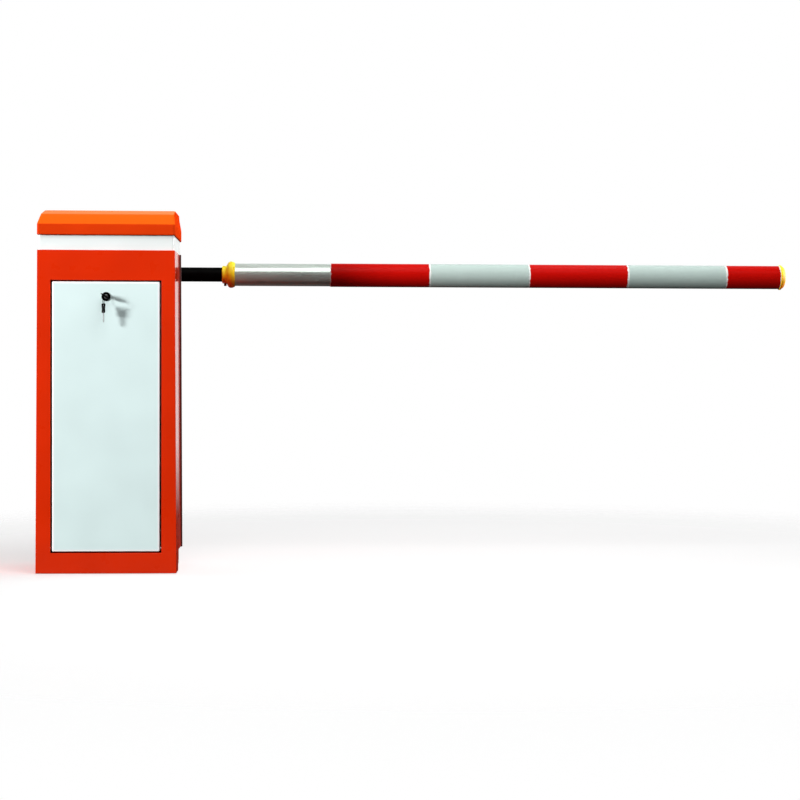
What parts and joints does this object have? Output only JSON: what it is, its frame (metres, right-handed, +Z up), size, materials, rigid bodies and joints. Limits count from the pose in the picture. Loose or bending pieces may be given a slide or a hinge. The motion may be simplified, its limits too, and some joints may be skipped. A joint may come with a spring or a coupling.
{
  "type": "parking barrier gate",
  "caption": "Parking barrier: orange sheet-metal cabinet with a pale tilting door and a striped round boom on a motor-driven shaft behind it.",
  "frame": {"origin": "middle of the base plate's underside, on the floor", "axes": "+X along the boom towards its tip, -Y out of the cabinet's front door, +Z up"},
  "size_m": [2.1799, 0.4353, 1.01],
  "materials": {
    "orange_paint": "glossy orange-red powder coat",
    "hood_paint": "glossy orange powder coat",
    "white_paint": "satin pale blue-white powder coat",
    "black_rubber": "matt",
    "zinc_plated_steel": "dull bright zinc",
    "plain_steel": "machined",
    "cast_aluminium": "as cast",
    "bronze": "machined",
    "motor_paint": "satin grey paint",
    "black_plastic": "fine moulded grain",
    "circuit_board": "lacquered board",
    "black_paint": "semi-gloss",
    "yellow_plastic": "moulded",
    "polished_aluminium": "drawn and polished",
    "red_film": "retroreflective sheeting",
    "pale_film": "retroreflective sheeting"
  },
  "bodies": {
    "cabinet": {"plinth": "orange_paint", "front_frame": "orange_paint", "rear_shell": "orange_paint", "hood": "hood_paint", "neck_band": "white_paint", "side_plug": "black_rubber", "side_seal_left": "black_rubber", "side_seal_right": "black_rubber", "door_seal": "black_rubber", "shaft_seal": "black_rubber", "buffer_closed": "black_rubber", "buffer_open": "black_rubber", "base_plate": "zinc_plated_steel", "machine_plate": "zinc_plated_steel", "spring_anchor": "zinc_plated_steel", "rear_bearing": "plain_steel", "balance_spring_front": "plain_steel", "balance_spring_rear": "plain_steel", "bearing_housing": "cast_aluminium", "front_bearing": "cast_aluminium", "gear_case": "cast_aluminium", "motor": "motor_paint", "controller_tray": "motor_paint", "cable_gland": "black_plastic", "hood_knob_left": "black_plastic", "hood_knob_right": "black_plastic", "fan_cover": "black_plastic", "limit_switch_lower": "black_plastic", "limit_switch_upper": "black_plastic", "motor_cable": "black_plastic", "circuit_board": "circuit_board"},
    "door": {"door_panel": "white_paint", "hinge_rod": "plain_steel", "lock_body": "black_plastic"},
    "key": {"lock_key": "black_plastic", "lock_cam": "zinc_plated_steel"},
    "spare_key": {"key_ring": "plain_steel", "spare_key": "black_plastic"},
    "boom": {"main_shaft": "plain_steel", "lever": "cast_aluminium", "limit_cam": "black_plastic", "hub_flange": "cast_aluminium", "boom_holder": "black_paint", "inner_tube": "black_paint", "inner_bush": "yellow_plastic", "u_bolt_inner": "zinc_plated_steel", "u_bolt_outer": "zinc_plated_steel"},
    "pole": {"pole_tube": "polished_aluminium", "pole_collar": "yellow_plastic", "clamp_screw": "plain_steel", "end_cap": "yellow_plastic", "red_film_1": "red_film", "pale_film_1": "pale_film", "red_film_2": "red_film", "pale_film_2": "pale_film", "red_film_3": "red_film"},
    "crank": {"crank": "plain_steel", "worm_wheel": "bronze"},
    "rod": {"connecting_rod": "plain_steel"},
    "motor_rotor": {"worm_shaft": "plain_steel"}
  },
  "joints": [
    {"name": "boom_lift", "type": "hinge", "parent": "cabinet", "child": "boom", "pos_m": [0, 0.2, 0.845], "axis": [0, -1, 0], "range_deg": [0, 90], "deforming": ["balance_spring_front", "balance_spring_rear"]},
    {"name": "boom_length", "type": "slide", "parent": "boom", "child": "pole", "axis": [1, 0, 0], "range_m": [0, 0.25]},
    {"name": "crank_turn", "type": "hinge", "parent": "cabinet", "child": "crank", "pos_m": [0, 0, 0.545], "axis": [0, -1, 0], "range_deg": [0, 90]},
    {"name": "rod_swing", "type": "hinge", "parent": "crank", "child": "rod", "pos_m": [0.0495, -0.025, 0.4955], "axis": [0, -1, 0], "range_deg": [-90, 0]},
    {"name": "motor_turn", "type": "hinge", "parent": "cabinet", "child": "motor_rotor", "pos_m": [0.057, 0.085, 0.4], "axis": [0, 0, 1], "range_deg": [0, 1800]},
    {"name": "door_tilt", "type": "hinge", "parent": "cabinet", "child": "door", "pos_m": [0, -0.143, 0.07], "axis": [1, 0, 0], "range_deg": [0, 75]},
    {"name": "key_turn", "type": "hinge", "parent": "door", "child": "key", "pos_m": [0, -0.1705, 0.764], "axis": [0, -1, 0], "range_deg": [0, 90]},
    {"name": "spare_key_swing", "type": "hinge", "parent": "key", "child": "spare_key", "pos_m": [-0.004, -0.1795, 0.7666], "axis": [0, -1, 0], "range_deg": [-90, 0]}
  ],
  "couplings": [
    {"joint": "crank_turn", "follows": "boom_lift", "ratio": 1},
    {"joint": "rod_swing", "follows": "boom_lift", "ratio": -1},
    {"joint": "motor_turn", "follows": "boom_lift", "ratio": 20},
    {"joint": "spare_key_swing", "follows": "key_turn", "ratio": -1}
  ]
}
